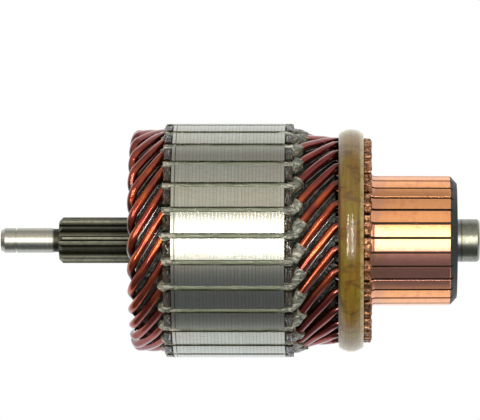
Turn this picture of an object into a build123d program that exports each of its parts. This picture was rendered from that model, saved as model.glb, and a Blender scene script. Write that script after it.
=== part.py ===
from build123d import *
import math
import os

# Armature of a gear-reduction starter motor, sizes in millimetres.
# X runs along the shaft towards the commutator and Z is up. The origin lies on the shaft
# axis, half way along the shaft. Angles are taken about +X, from +Y. Front is the gear end.
# A name ending in _d is a diameter, in _r a radius, and in _x a place along the shaft.

# Shaft
shaft_length = 139.0
pilot_d = 7.2
pilot_length = 15.1
pilot_chamfer_length = 1.2
pilot_chamfer_depth = 0.7
groove_from_tip = 4.2
groove_width = 0.5
groove_depth = 0.35
neck_length = 1.9
neck_depth = 0.2
core_seat_d = 14.5
commutator_seat_d = 14.0
tail_d = 12.4
tail_chamfer = 0.6

# Sun gear cut on the shaft
gear_teeth = 13
gear_module = 0.9
gear_outer_d = 13.4
gear_length = 22.0
gear_chamfer = 1.1
gear_phase = 7.85
pressure_angle = 20.0

# Laminated core and its end insulators
core_d = 68.0
core_length = 32.2
core_start_x = -18.9
slot_count = 28
slot_phase = -2.6
slot_opening = 1.6
lip_depth = 0.9
lip_slope = 0.35
insulator_thickness = 2.3

# Coils, two layers of round wire. The two turns behind the core and the span in front of it
# add up to the step of a wave winding on the commutator.
wire_d = 2.5
wire_sides = 6
coil_span_slots = 5
outer_rear_turn_slots = 2.5
inner_rear_turn_slots = 1.5
slot_layer_gap = 0.6
end_layer_gap = 1.1
front_winding_drop = 1.9
front_winding_reach = 10.5
head_length = 0.6
head_half_turn_slots = 0.4
rear_winding_drop = 4.0
rear_middle_drop_share = 0.75
rear_middle_turn_share = 0.55
lead_bend_to_band = 0.9

# Slot liners, each with a cuff that follows the outer wire
liner_paper = 0.2
liner_overhang = 0.2
liner_top_depth = 0.4
cuff_start = 0.1
cuff_paper = 0.25
cuff_reach = 3.3
liner_clearance = 0.05
wire_clearance = 0.05

# Sleeves between the two layers of each end winding
sleeve_paper = 0.2
front_sleeve_inset = 0.9
rear_sleeve_inset = 1.6

# Banding ring over the leads
band_width = 7.2
band_thickness = 2.4
band_edge_thickness = 0.95
band_clearance = 0.08
band_to_riser = 0.05

# Commutator. A share of depth is taken of what lies between the shaft and the brush track.
riser_start_x = 35.95
riser_width = 2.05
riser_drop = 4.5
track_d = 37.6
track_length = 23.0
root_step = 0.45
root_step_length = 1.1
bar_depth_share = 0.356
bar_gap = 0.7
undercut = 0.9
nose_length = 1.9
nose_step = 0.15
nose_drop = 2.05
bush_share = 0.316
bush_recess = 0.6

# Room that a mitred bend takes along a run, as a share of the half width of what bends
wire_bend_share = 0.6
cuff_bend_share = 0.8

# Radii and pitches that follow
slot_pitch = 360 / slot_count
core_r = core_d / 2
wire_r = wire_d / 2
lip_r = core_r - lip_depth
slot_top_r = lip_r - lip_slope
cell_half_width = wire_r + wire_clearance
cell_top_r = slot_top_r - liner_clearance - liner_paper
slot_outer_r = cell_top_r - wire_clearance - wire_r
slot_inner_r = slot_outer_r - wire_d - slot_layer_gap
cell_bottom_r = slot_inner_r - wire_r - wire_clearance
slot_bottom_r = cell_bottom_r - liner_paper - liner_clearance
slot_width = 2 * (cell_half_width + liner_paper + liner_clearance)
front_outer_r = core_r - front_winding_drop - wire_r
front_inner_r = front_outer_r - wire_d - end_layer_gap
lead_outer_r = core_r - rear_winding_drop - wire_r
lead_inner_r = lead_outer_r - wire_d - end_layer_gap
riser_r = core_r - riser_drop
riser_outer_r = riser_r - wire_r
cuff_half_width = cell_half_width + cuff_paper
commutator_seat_r = commutator_seat_d / 2
track_r = track_d / 2
bar_bottom_r = track_r - bar_depth_share * (track_r - commutator_seat_r)
saw_bottom_r = track_r - undercut
nose_r = track_r - nose_step
bush_r = commutator_seat_r + bush_share * (bar_bottom_r - commutator_seat_r)
front_turn = coil_span_slots / 2 - head_half_turn_slots
gear_root_r = gear_module * (gear_teeth / 2 - 1.25)

# Places along the shaft that follow
tip_x = -shaft_length / 2
tail_x = shaft_length / 2
gear_start_x = tip_x + pilot_length + neck_length
gear_end_x = gear_start_x + gear_length
core_end_x = core_start_x + core_length
front_face_x = core_start_x - insulator_thickness
rear_face_x = core_end_x + insulator_thickness
head_x = front_face_x - front_winding_reach + wire_r
head_start_x = head_x + head_length
front_bend_x = front_face_x - liner_overhang - wire_bend_share * wire_r
front_middle_x = (front_bend_x + head_start_x) / 2
band_end_x = riser_start_x - band_to_riser
band_start_x = band_end_x - band_width
liner_end_x = rear_face_x + cuff_start
rear_bend_x = liner_end_x + cuff_bend_share * cuff_half_width
lead_bend_x = band_start_x - lead_bend_to_band
rear_middle_x = (rear_bend_x + lead_bend_x) / 2
riser_end_x = riser_start_x + riser_width
track_end_x = riser_end_x + track_length
nose_x = track_end_x + nose_length
bush_end_x = nose_x - bush_recess


def turned(*corners):
    """Solid of revolution about the shaft axis, from its (x, radius) corners."""
    return revolve(make_face(Polyline(*corners, close=True)), axis=Axis.X)


def along_shaft(section, start_x, length):
    """Prism along the shaft, from a sketch whose X and Y are the world's Y and Z."""
    return extrude(Plane.YZ.offset(start_x) * section, length)


def turned_by(slots):
    """Turn about the shaft by a number of slots, counted from the first slot."""
    return Rot(X=slot_phase + slots * slot_pitch)


def radial_block(start_x, end_x, inner_r, outer_r, width):
    """Block of even width that stands on the shaft axis in the direction of +Y."""
    block = Box(end_x - start_x, outer_r - inner_r, width, align=(Align.MIN, Align.MIN, Align.CENTER))
    return Pos(start_x, inner_r, 0) * block


def point_at(x, radius, slots):
    """Point beside the shaft, at an angle counted in slots from the first slot."""
    angle = math.radians(slot_phase + slots * slot_pitch)
    return Vector(x, radius * math.cos(angle), radius * math.sin(angle))


def around_shaft(piece):
    """Copies of the first piece, one for each slot."""
    return [turned_by(slot) * piece for slot in range(slot_count)]


def gear_section():
    """Sun gear outline: involute flanks from the base circle, radial lines below it."""
    tooth_pitch = 2 * math.pi / gear_teeth
    pressure = math.radians(pressure_angle)
    pitch_r = gear_module * gear_teeth / 2
    base_r = pitch_r * math.cos(pressure)
    tip_r = gear_outer_d / 2
    flank_r = (base_r + tip_r) / 2

    def half_angle(radius):
        """Half the angle that a tooth fills at a radius."""
        turn = math.acos(base_r / radius)
        return tooth_pitch / 4 + math.tan(pressure) - pressure - math.tan(turn) + turn

    def polar(radius, angle):
        return (radius * math.cos(angle), radius * math.sin(angle))

    edges = []
    for tooth in range(gear_teeth):
        middle = math.radians(gear_phase) + tooth * tooth_pitch
        sides = []
        for side in (-1, 1):
            root = polar(gear_root_r, middle + side * half_angle(base_r))
            base = polar(base_r, middle + side * half_angle(base_r))
            flank = polar(flank_r, middle + side * half_angle(flank_r))
            tip = polar(tip_r, middle + side * half_angle(tip_r))
            edges += [Line(root, base), ThreePointArc(base, flank, tip)]
            sides.append((root, tip))
        next_root = polar(gear_root_r, middle + tooth_pitch - half_angle(base_r))
        edges.append(ThreePointArc(sides[0][1], polar(tip_r, middle), sides[1][1]))
        edges.append(ThreePointArc(sides[1][0], polar(gear_root_r, middle + tooth_pitch / 2), next_root))
    return make_face(Curve() + edges)


def make_shaft():
    """One turned bar: pilot journal, neck, sun gear, core seat, commutator seat, tail journal."""
    pilot_r = pilot_d / 2
    tail_r = tail_d / 2
    groove_x = tip_x + groove_from_tip
    neck_x = tip_x + pilot_length
    bar = turned(
        (tip_x, 0),
        (tip_x, pilot_r - pilot_chamfer_depth),
        (tip_x + pilot_chamfer_length, pilot_r),
        (groove_x, pilot_r),
        (groove_x, pilot_r - groove_depth),
        (groove_x + groove_width, pilot_r - groove_depth),
        (groove_x + groove_width, pilot_r),
        (neck_x, pilot_r),
        (neck_x, pilot_r - neck_depth),
        (gear_start_x, pilot_r - neck_depth),
        (gear_start_x, gear_root_r),
        (gear_end_x, gear_root_r),
        (gear_end_x, core_seat_d / 2),
        (rear_face_x, core_seat_d / 2),
        (rear_face_x, commutator_seat_r),
        (bush_end_x, commutator_seat_r),
        (bush_end_x, tail_r),
        (tail_x - tail_chamfer, tail_r),
        (tail_x, tail_r - tail_chamfer),
        (tail_x, 0),
    )
    gear_r = gear_outer_d / 2
    envelope = turned(
        (gear_start_x, 0),
        (gear_start_x, gear_r - gear_chamfer),
        (gear_start_x + gear_chamfer, gear_r),
        (gear_end_x, gear_r),
        (gear_end_x, 0),
    )
    return bar + (along_shaft(gear_section(), gear_start_x, gear_length) & envelope)


def slot_section(inset, top_r):
    """Outline of the first slot, drawn in by an inset on each side and closed at a radius."""
    mouth = slot_opening / 2 - inset
    body = slot_width / 2 - inset
    half = [
        (top_r, mouth),
        (lip_r - inset, mouth),
        (slot_top_r - inset, body),
        (slot_bottom_r + inset, body),
    ]
    return make_face(Polyline(*half, *[(x, -y) for x, y in reversed(half)], close=True))


def make_core_stack():
    """Lamination pack with semi-closed slots."""
    slots = PolarLocations(0, slot_count, start_angle=slot_phase) * slot_section(0, core_r + lip_depth)
    return along_shaft(Circle(core_r) - Circle(core_seat_d / 2) - slots, core_start_x, core_length)


def make_insulator(start_x):
    """Fibre disc with open slots that leave the full width of each core slot free."""
    mouth = core_r + lip_depth - slot_bottom_r
    slot = Pos(slot_bottom_r + mouth / 2, 0) * Rectangle(mouth, slot_width)
    slots = PolarLocations(0, slot_count, start_angle=slot_phase) * slot
    return along_shaft(Circle(core_r) - Circle(core_seat_d / 2) - slots, start_x, insulator_thickness)


def between(first, last, share):
    """Value at a share of the way from a first one to a last one."""
    return first + (last - first) * share


def leg_stations(slot_r, end_r, lead_r, in_riser_r, rear_turn, turn_to_head):
    """Stations (x, radius, turn in slots) of one leg of a coil, from its riser to its head."""
    rear_middle_r = between(slot_r, lead_r, rear_middle_drop_share)
    return [
        (riser_end_x, in_riser_r, rear_turn),
        (lead_bend_x, lead_r, rear_turn),
        (rear_middle_x, rear_middle_r, rear_turn * rear_middle_turn_share),
        (rear_bend_x, slot_r, 0),
        (front_bend_x, slot_r, 0),
        (front_middle_x, between(slot_r, end_r, 0.5), turn_to_head / 2),
        (head_start_x, end_r, turn_to_head),
    ]


def outer_leg():
    """Stations of the leg in the outer layer of the first slot."""
    radii = (slot_outer_r, front_outer_r, lead_outer_r, riser_outer_r)
    return leg_stations(*radii, -outer_rear_turn_slots, front_turn)


def inner_leg():
    """Stations of the leg in the inner layer, turned as if its slot were the first."""
    radii = (slot_inner_r, front_inner_r, lead_inner_r, lead_inner_r)
    return leg_stations(*radii, inner_rear_turn_slots, -front_turn)


def coil_route():
    """Corners of the first coil: outer leg, hairpin head, and inner leg a span further on."""
    head = (head_x, (front_outer_r + front_inner_r) / 2, coil_span_slots / 2)
    back = [(x, radius, coil_span_slots + turn) for x, radius, turn in reversed(inner_leg())]
    return [point_at(*station) for station in outer_leg() + [head] + back]


def mitred(section, route):
    """Section swept along straight runs that meet in mitres, its X starting away from the axis."""
    start = Plane(route[0], x_dir=(0, route[0].Y, route[0].Z), z_dir=route[1] - route[0])
    return sweep(start * section, path=Polyline(*route), transition=Transition.RIGHT)


def make_slot_liner():
    """Folded paper in the first slot, which goes on as a cuff round the outer wire behind."""
    start_x = front_face_x - liner_overhang
    cell = radial_block(start_x, liner_end_x, cell_bottom_r, cell_top_r, 2 * cell_half_width)
    section = slot_section(liner_clearance, core_r - liner_top_depth)
    walls = along_shaft(section, start_x, liner_end_x - start_x)
    middle, bend = [point_at(*station) for station in outer_leg()[2:4]]
    share = (rear_face_x + cuff_reach - rear_bend_x) / (rear_middle_x - rear_bend_x)
    route = [point_at(liner_end_x, slot_outer_r, 0), bend, between(bend, middle, share)]
    bore = mitred(Rectangle(2 * cell_half_width, 2 * cell_half_width), route)
    cuff = mitred(Rectangle(2 * cuff_half_width, 2 * cuff_half_width), route) - bore
    return (walls - cell) + turned_by(0).inverse() * cuff


def layer_sleeve(stations, chord_turn):
    """Paper sleeve between (x, outer layer radius, inner layer radius) stations.

    It has one flat for each slot, and its middle keeps clear of the dip that each straight
    piece of an outer wire makes."""
    dip_share = 1 - math.cos(math.radians(chord_turn * slot_pitch) / 2)
    flat_room = (1 / math.cos(math.pi / slot_count) + 1) / 2
    walls = []
    for offset in (sleeve_paper / 2, -sleeve_paper / 2):
        rings = []
        for x, outer_layer_r, inner_layer_r in stations:
            radius = (outer_layer_r * (1 - dip_share) + inner_layer_r) / 2 * flat_room + offset
            rings.append(Plane.YZ.offset(x) * RegularPolygon(radius, slot_count))
        walls.append(loft(rings, ruled=True))
    return walls[0] - walls[1]


def make_front_layer_sleeve():
    """Sleeve between the layers on the gear side, from the slots to the heads."""
    stations = []
    for x in (front_bend_x - front_sleeve_inset, head_start_x + front_sleeve_inset):
        share = (x - front_bend_x) / (head_start_x - front_bend_x)
        outer_layer_r = between(slot_outer_r, front_outer_r, share)
        stations.append((x, outer_layer_r, between(slot_inner_r, front_inner_r, share)))
    return layer_sleeve(stations, front_turn / 2)


def make_rear_layer_sleeve():
    """Sleeve between the layers on the commutator side, from the cuffs to the band."""
    start_x = rear_face_x + cuff_reach + rear_sleeve_inset
    start_share = rear_middle_drop_share * (start_x - rear_bend_x) / (rear_middle_x - rear_bend_x)
    stations = []
    for x, share in ((start_x, start_share), (rear_middle_x, rear_middle_drop_share), (lead_bend_x, 1)):
        outer_layer_r = between(slot_outer_r, lead_outer_r, share)
        stations.append((x, outer_layer_r, between(slot_inner_r, lead_inner_r, share)))
    return layer_sleeve(stations, outer_rear_turn_slots * rear_middle_turn_share)


def make_banding_ring():
    """Wound ring with a crowned back, whose bore follows the leads down to the risers."""
    slope = (riser_outer_r - lead_outer_r) / (riser_end_x - lead_bend_x)

    def bore_at(x):
        return lead_outer_r + slope * (x - lead_bend_x) + wire_r + band_clearance

    start_bore_r = bore_at(band_start_x)
    shoulder_r = start_bore_r + band_edge_thickness
    start = (band_start_x, shoulder_r)
    crown = ((band_start_x + band_end_x) / 2, start_bore_r + band_thickness)
    end = (band_end_x, shoulder_r)
    bore = Polyline(end, (band_end_x, bore_at(band_end_x)), (band_start_x, start_bore_r), start)
    return revolve(make_face(ThreePointArc(start, crown, end) + bore), axis=Axis.X)


def make_commutator_bar():
    """Copper bar with its riser, centred on +Y, one flat across its narrow width."""

    def half_width(radius):
        """Half the room between the insulation on either side of a bar."""
        return radius * math.tan(math.pi / slot_count) - bar_gap / 2 / math.cos(math.pi / slot_count)

    corners = [(bar_bottom_r, half_width(bar_bottom_r)), (riser_r, half_width(riser_r))]
    corners += [(radius, -width) for radius, width in reversed(corners)]
    wedge = along_shaft(make_face(Polyline(*corners, close=True)), riser_start_x, track_end_x - riser_start_x)
    side = Polyline(
        (riser_start_x, bar_bottom_r),
        (riser_start_x, riser_r),
        (riser_end_x, riser_r),
        (riser_end_x, track_r + root_step),
        (riser_end_x + root_step_length, track_r),
        (track_end_x, track_r),
        (track_end_x, bar_bottom_r),
        close=True,
    )
    plate = extrude(make_face(side), half_width(riser_r), both=True)
    slot_floor_r = lead_inner_r - cell_half_width
    return wedge & plate - radial_block(riser_start_x, riser_end_x, slot_floor_r, core_r, 2 * cell_half_width)


def make_mica_segment():
    """Mica strip between two bars, cut back below the brush track."""
    return radial_block(riser_start_x, track_end_x, bar_bottom_r, saw_bottom_r, bar_gap)


def make_commutator_moulding():
    """Phenolic body under the bars, with a sawn nose behind them."""
    body = turned(
        (riser_start_x, bush_r),
        (riser_start_x, bar_bottom_r),
        (track_end_x, bar_bottom_r),
        (track_end_x, nose_r),
        (nose_x, nose_r - nose_drop),
        (nose_x, bush_r),
    )
    return body - around_shaft(radial_block(track_end_x, nose_x, saw_bottom_r, track_d, bar_gap))


def make_commutator_bush():
    """Steel sleeve moulded into the commutator and pressed on the shaft."""
    return turned(
        (riser_start_x, commutator_seat_r),
        (riser_start_x, bush_r),
        (bush_end_x, bush_r),
        (bush_end_x, commutator_seat_r),
    )


def save(node, shape):
    """Write one named piece, or one group of like pieces."""
    export_step(shape, os.path.join("parts", node + ".step"))


os.makedirs("parts", exist_ok=True)
save("shaft", make_shaft())
save("core_stack", make_core_stack())
save("front_end_insulator", make_insulator(front_face_x))
save("rear_end_insulator", make_insulator(core_end_x))
save("slot_liners", Compound(around_shaft(make_slot_liner())))
coil = mitred(RegularPolygon(wire_r, wire_sides), coil_route())
for number in range(slot_count):
    save(f"coil_{number + 1:02d}", Rot(X=number * slot_pitch) * coil)
save("front_layer_sleeve", make_front_layer_sleeve())
save("rear_layer_sleeve", make_rear_layer_sleeve())
save("banding_ring", make_banding_ring())
save("commutator_bars", Compound(around_shaft(Rot(X=slot_pitch / 2) * make_commutator_bar())))
save("mica_segments", Compound(around_shaft(make_mica_segment())))
save("commutator_moulding", make_commutator_moulding())
save("commutator_bush", make_commutator_bush())
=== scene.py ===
"""Looks of a starter motor armature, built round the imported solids.

Lengths are in millimetres until a mesh is made. X runs along the shaft towards the commutator,
Z is up, and the photographed side faces -Y. Angles are taken about +X, from +Y.
"""

import math
import random

import bpy
import numpy as np
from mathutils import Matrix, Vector


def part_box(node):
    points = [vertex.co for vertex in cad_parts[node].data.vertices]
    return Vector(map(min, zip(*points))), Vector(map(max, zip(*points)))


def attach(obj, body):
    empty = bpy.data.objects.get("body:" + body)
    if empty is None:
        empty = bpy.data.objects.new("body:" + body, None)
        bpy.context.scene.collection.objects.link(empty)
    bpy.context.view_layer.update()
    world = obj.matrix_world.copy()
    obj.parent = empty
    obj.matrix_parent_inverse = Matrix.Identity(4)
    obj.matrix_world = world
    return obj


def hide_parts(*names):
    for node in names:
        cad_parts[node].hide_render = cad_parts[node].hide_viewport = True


MM = 0.001

# Winding pattern
SLOT_COUNT = 28
SLOT_PHASE = -2.6
COIL_SPAN = 5
OUTER_REAR_TURN = 2.5
INNER_REAR_TURN = 1.5
HEAD_HALF_TURN = 0.4
WIRE_R = 1.25
SLOT_OUTER_R = 31.2
SLOT_INNER_R = 28.1
FRONT_OUTER_R = 30.85
FRONT_INNER_R = 27.25
LEAD_OUTER_R = 28.75
LEAD_INNER_R = 25.15
RISER_OUTER_R = 28.25
LEAD_TURN_SHARE = 0.52
LEAD_DROP_SHARE = 0.78
VARNISH_TURN = 0.36

# Slots of the core and of its end insulators
MOUTH_HALF = 0.8
SLOT_HALF = 1.55
LIP_R = 33.1
SLOT_TOP_R = 32.75
SLOT_BOTTOM_R = 26.55
BORE_R = 7.25
SHEET_COUNT = 32

# Commutator and shaft
TRACK_R = 18.8
ROOT_R = 19.25
BAR_DEPTH = 4.2
MICA_HALF = 0.35
RISER_THICKNESS = 2.05
PILOT_LENGTH = 17.0

# Camera, light and floor, in metres
CAMERA_AT = (0.032, -1.26, 0.009)
CAMERA_TARGET = (0.0, 0.0, 0.00885)
LENS, SENSOR = 325.0, 36.0
LAMP_SIZE = (0.03, 0.8)
LAMP_POWER = 4.2
LAMP_COLOUR = (1.0, 0.96, 0.8)
FLOOR_R = 0.42
FLOOR_Z = -0.066
FLOOR_SIDES = 64
FLOOR_FADE = (0.1, FLOOR_R * 0.66)

# What metal sees round the shaft: degrees above the front, level and warmth
ROOM_LEVELS = [
    (-180, 1.1, -0.04), (-101, 1.1, -0.04), (-95, 0.34, -0.04), (-80, 0.19, -0.05),
    (-57, 0.16, -0.06), (-38, 0.22, -0.06), (-24, 0.3, 0.0), (-19, 0.9, 0.0), (-16, 1.9, 0.0),
    (-13, 2.8, 0.0), (17, 2.9, 0.0), (20, 1.95, 0.0), (24, 1.3, 0.01), (28, 0.6, 0.03),
    (33, 0.6, 0.04), (38, 0.92, 0.04), (45, 0.88, 0.05), (52, 0.84, 0.05), (62, 0.68, 0.02),
    (78, 0.64, 0.01), (88, 0.42, 0.02), (95, 0.42, 0.02), (101, 0.6, 0.0), (110, 0.9, 0.0),
    (120, 1.08, -0.01), (180, 1.1, -0.02)]
BRIGHTEST = 3.2
WHITE = (1, 1, 1, 1)

# The bright front fades to a side level between these angles, and dull surfaces get an even light
WINDOW_ASIDE = (22, 32)
WINDOW_ABOVE = (22, 27)
SIDE_LEVEL = 0.4
PLAIN_LEVEL = 0.45

SLOT_PITCH = 360 / SLOT_COUNT
FULL_TURN = 2 * math.pi

# How finely curves are cut, and where each kind of piece starts its random draws
RIM_STEPS = 5
CORNER_STEPS = 6
STRAIGHT_STEP = 1.6
WIRE_SIDES = 14
SLEEVE_SIDES = 8 * SLOT_COUNT
BAND_SIDES = 6 * SLOT_COUNT
CORE_SEED, BAND_SEED = 3, 9
COIL_SEED, VARNISH_SEED, PAPER_SEED, DRIP_SEED, BAR_SEED = 100, 300, 500, 700, 900


def radius_of(node):
    """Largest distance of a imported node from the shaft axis."""
    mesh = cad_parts[node].data
    return max(math.hypot(v.co.y, v.co.z) for v in mesh.vertices) / MM


def reach_of(node):
    """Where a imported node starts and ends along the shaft."""
    low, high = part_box(node)
    return low.x / MM, high.x / MM


# Points, rings and surfaces

def direction(slots):
    """Unit vector away from the axis, at an angle counted in slots from the first slot."""
    angle = math.radians(SLOT_PHASE + slots * SLOT_PITCH)
    return np.array([0.0, math.cos(angle), math.sin(angle)])


def across(slots):
    """Unit vector round the axis, square to the direction of the same slot."""
    angle = math.radians(SLOT_PHASE + slots * SLOT_PITCH)
    return np.array([0.0, -math.sin(angle), math.cos(angle)])


def point_at(x, radius, slots):
    """Point at a place along the shaft, a radius and an angle in slots."""
    return np.array([x, 0.0, 0.0]) + radius * direction(slots)


def skin(rings, capped=True, looped=False):
    """Surface through rings that have the same number of points."""
    count = len(rings[0])
    points = np.concatenate(rings)
    faces = []
    for row in range(len(rings) if looped else len(rings) - 1):
        first = row * count
        after = (row + 1) % len(rings) * count
        for i in range(count):
            j = (i + 1) % count
            faces.append((first + i, first + j, after + j, after + i))
    if capped:
        faces.append(tuple(reversed(range(count))))
        faces.append(tuple(range(len(points) - count, len(points))))
    return points, faces


def heading(path, i):
    """Unit vector along a path at one of its points."""
    ahead = path[min(i + 1, len(path) - 1)] - path[max(i - 1, 0)]
    return ahead / np.linalg.norm(ahead)


def swept(path, outlines):
    """Skin along a path, from an outline of (outward, sideways) offsets for each point."""
    rings = []
    for i, point in enumerate(path):
        ahead = heading(path, i)
        sideways = np.cross(ahead, np.array([0.0, point[1], point[2]]))
        sideways = sideways / np.linalg.norm(sideways)
        outward = np.cross(sideways, ahead)
        rings.append(point + outlines[i][:, :1] * outward + outlines[i][:, 1:] * sideways)
    return skin(rings)


def section_at(x, slot, corners):
    """Ring square to the shaft, from (radius, sideways) corners on a slot's direction."""
    centre = point_at(x, 0.0, 0)
    return np.array([centre + r * direction(slot) + w * across(slot) for r, w in corners])


def circle_at(x, radii, angles):
    """Ring round the shaft, with a radius for each angle."""
    along = np.full(len(angles), x)
    return np.stack([along, radii * np.cos(angles), radii * np.sin(angles)], axis=1)


def joined(parts):
    """One list of points and one of faces, from several."""
    points = []
    faces = []
    start = 0
    for part_points, part_faces in parts:
        points.append(part_points)
        faces += [tuple(start + i for i in face) for face in part_faces]
        start += len(part_points)
    return np.concatenate(points), faces


def wavering(values, rng, reach, smooth):
    """Random offsets between minus and plus reach, one for each of the values.

    Between two drawn offsets lie as many straight steps as smooth says."""
    knots = [rng.uniform(-reach, reach) for _ in range(len(values) // smooth + 4)]
    steps = np.arange(len(values)) / smooth
    return np.interp(steps, np.arange(len(knots)), knots)


def link_object(name, data):
    """New object in the scene."""
    thing = bpy.data.objects.new(name, data)
    bpy.context.scene.collection.objects.link(thing)
    return thing


def add_piece(name, surface, material, stands_for=(), crease=40):
    """Blender object from a surface, which rides on the armature.

    Edges that bend by more degrees than the crease stay sharp."""
    points, faces = surface
    mesh = bpy.data.meshes.new(name)
    mesh.from_pydata([tuple(p) for p in points * MM], [], faces)
    mesh.materials.append(material)
    mesh.validate()
    mesh.shade_smooth()
    mesh.set_sharp_from_angle(angle=math.radians(crease))
    piece = link_object(name, mesh)
    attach(piece, "root")
    if stands_for:
        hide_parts(*stands_for)


# Material nodes

def add_node(tree, kind, inputs=None, **settings):
    """Shader node with its settings, and with its inputs set to values or linked to sockets."""
    node = tree.nodes.new("ShaderNode" + kind)
    for key, value in settings.items():
        setattr(node, key, value)
    for key, value in (inputs or {}).items():
        if isinstance(value, bpy.types.NodeSocket):
            tree.links.new(value, node.inputs[key])
        else:
            node.inputs[key].default_value = value
    return node


def start_material(name, **constants):
    """New material, with constants on its shader's own sockets."""
    material = bpy.data.materials.new(name)
    material.use_nodes = True
    tree = material.node_tree
    shader = tree.nodes["Principled BSDF"]
    for key, value in constants.items():
        shader.inputs[key.replace("_", " ").title().replace("Ior", "IOR")].default_value = value
    return material, tree, shader


def place(tree):
    """Position on the armature, in metres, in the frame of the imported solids."""
    return add_node(tree, "TexCoord").outputs["Object"]


def stretched(tree, vector, scale):
    return add_node(tree, "Mapping", {"Vector": vector, "Scale": scale}).outputs["Vector"]


def noise(tree, vector, scale, detail=3.0, roughness=0.55, distortion=0.0):
    values = {"Vector": vector, "Scale": scale, "Detail": detail, "Roughness": roughness,
              "Distortion": distortion}
    return add_node(tree, "TexNoise", values).outputs["Fac"]


def ranged(tree, value, low, high, to_low=0.0, to_high=1.0):
    """Value mapped from one range to another, and held at its ends."""
    values = {"Value": value, "From Min": low, "From Max": high,
              "To Min": to_low, "To Max": to_high}
    return add_node(tree, "MapRange", values).outputs["Result"]


def faded(tree, length, start, end, to_low=0.0, to_high=1.0):
    """Value that changes between two lengths, which are given in millimetres."""
    return ranged(tree, length, start * MM, end * MM, to_low, to_high)


def window(tree, length, start, full, last, end):
    """1 from full to last and 0 before start and after end, in millimetres."""
    return combined(tree, "MULTIPLY", faded(tree, length, start, full),
                    faded(tree, length, last, end, 1.0, 0.0))


def mixed(tree, factor, first, second):
    """Mix of two colours."""
    node = add_node(tree, "Mix", data_type="RGBA")
    for key, value in (("Factor_Float", factor), ("A_Color", first), ("B_Color", second)):
        socket = next(s for s in node.inputs if s.identifier == key)
        if isinstance(value, bpy.types.NodeSocket):
            tree.links.new(value, socket)
        else:
            socket.default_value = value
    return next(s for s in node.outputs if s.identifier == "Result_Color")


def mixed_number(tree, factor, first, second):
    """Mix of two numbers, by the places of their sockets."""
    return add_node(tree, "Mix", {0: factor, 2: first, 3: second}).outputs[0]


def mixed_shader(tree, factor, first, second):
    """Mix of the shaders of two nodes."""
    values = {0: factor, 1: first.outputs[0], 2: second.outputs[0]}
    return add_node(tree, "MixShader", values)


def combined(tree, operation, first, second=0.0):
    """Sum, product or other operation on one or two numbers."""
    return add_node(tree, "Math", {0: first, 1: second}, operation=operation).outputs[0]


def bumped(tree, shader, height, distance, strength=1.0):
    """Bumps in the surface, and in the coat over it."""
    values = {"Height": height, "Distance": distance, "Strength": strength}
    normal = add_node(tree, "Bump", values).outputs["Normal"]
    tree.links.new(normal, shader.inputs["Normal"])
    if shader.inputs["Coat Weight"].default_value > 0:
        tree.links.new(normal, shader.inputs["Coat Normal"])


def feed(tree, shader, **sockets):
    """Links the outputs of nodes to the shader's inputs."""
    for key, socket in sockets.items():
        tree.links.new(socket, shader.inputs[key.replace("_", " ").title()])


def colour(red, green, blue):
    """Colour from the 0 to 255 values of a screen."""
    def linear(value):
        share = value / 255
        return share / 12.92 if share <= 0.04045 else ((share + 0.055) / 1.055) ** 2.4
    return (linear(red), linear(green), linear(blue), 1.0)


def split(tree, vector):
    return add_node(tree, "SeparateXYZ", {"Vector": vector}).outputs


def distance_from_axis(tree, vector):
    """Distance from the shaft axis, in metres."""
    flat = add_node(tree, "VectorMath", {0: vector, 1: (0.0, 1.0, 1.0)}, operation="MULTIPLY")
    return add_node(tree, "VectorMath", {0: flat.outputs[0]}, operation="LENGTH").outputs["Value"]


# Materials

def shaft_steel():
    """Ground journals, and a gear with a dark grey oxide film."""
    material, tree, shader = start_material("shaft_steel", metallic=1.0)
    where = place(tree)
    x = split(tree, where)["X"]
    gear = window(tree, x, GEAR_START_X - 2.1, GEAR_START_X - 1.5, 0.0, 1.0)
    tail = faded(tree, x, TAIL_START_X, TAIL_START_X + 0.3)
    turning = noise(tree, stretched(tree, where, (9000, 60, 60)), 1.0, 4.0)
    patches = noise(tree, where, 900.0, 4.0)
    bright = mixed(tree, ranged(tree, turning, 0.35, 0.7),
                   colour(186, 185, 173), colour(160, 158, 146))
    dull = mixed(tree, ranged(tree, patches, 0.35, 0.65),
                 colour(142, 142, 130), colour(124, 124, 112))
    # The collar gets a cooler, lighter grey that stands in for a bluish highlight on it: painted
    # highlight.
    collar_painted_highlight = faded(tree, x, TAIL_START_X + 1.6, TAIL_START_X + 1.9, 1.0, 0.0)
    line = window(tree, x, TAIL_START_X + 1.6, TAIL_START_X + 1.8,
                  TAIL_START_X + 2.1, TAIL_START_X + 2.3)
    dull = mixed(tree, collar_painted_highlight, dull, colour(140, 142, 144))
    dull = mixed(tree, line, dull, colour(104, 102, 74))
    ends = mixed(tree, tail, bright, dull)
    film = mixed(tree, ranged(tree, patches, 0.3, 0.7), colour(98, 98, 86), colour(80, 80, 68))
    neck = faded(tree, x, GEAR_START_X - 0.2, GEAR_START_X, 1.0, 0.0)
    film = mixed(tree, neck, film, colour(62, 62, 54))
    rough = combined(tree, "ADD", ranged(tree, patches, 0.3, 0.7, 0.25, 0.32),
                     combined(tree, "MULTIPLY", gear, 0.1))
    feed(tree, shader, base_color=mixed(tree, gear, ends, film), roughness=rough)
    bumped(tree, shader, turning, 0.00001, 0.5)
    return material


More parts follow.
